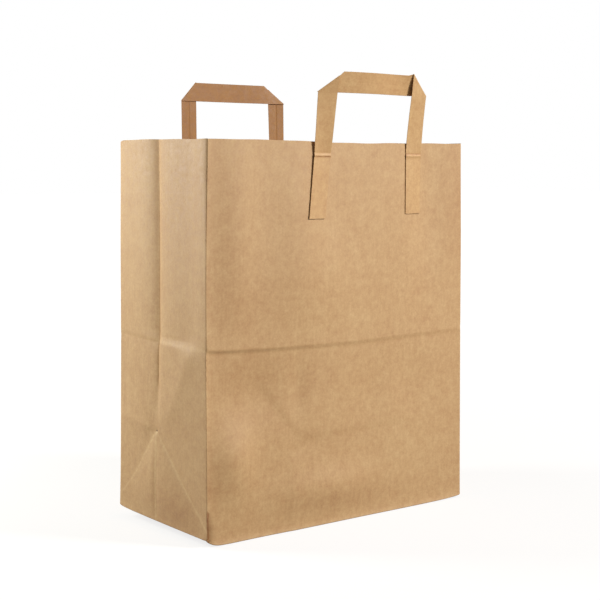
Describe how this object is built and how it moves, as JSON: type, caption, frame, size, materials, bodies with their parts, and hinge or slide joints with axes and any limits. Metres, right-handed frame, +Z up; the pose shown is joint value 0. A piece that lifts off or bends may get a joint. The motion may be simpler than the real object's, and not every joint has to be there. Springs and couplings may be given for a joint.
{
  "type": "paper carrier bag",
  "caption": "Open, free-standing kraft paper carrier bag with side gussets, a folded glued bottom and a flat paper tape handle on each wide face.",
  "frame": {"origin": "centre of the bottom, on the surface the bag stands on", "axes": "+Z up, +X along the wide panels, the front panel faces -Y"},
  "size_m": [0.26, 0.1411, 0.3545],
  "materials": {
    "kraft_paper": "uncoated brown kraft paper, matt, with soft folds",
    "handle_tape": "folded brown kraft paper tape, matt"
  },
  "bodies": {
    "root": {"bag_body": "kraft_paper", "front_handle": "handle_tape", "back_handle": "handle_tape"}
  },
  "joints": []
}
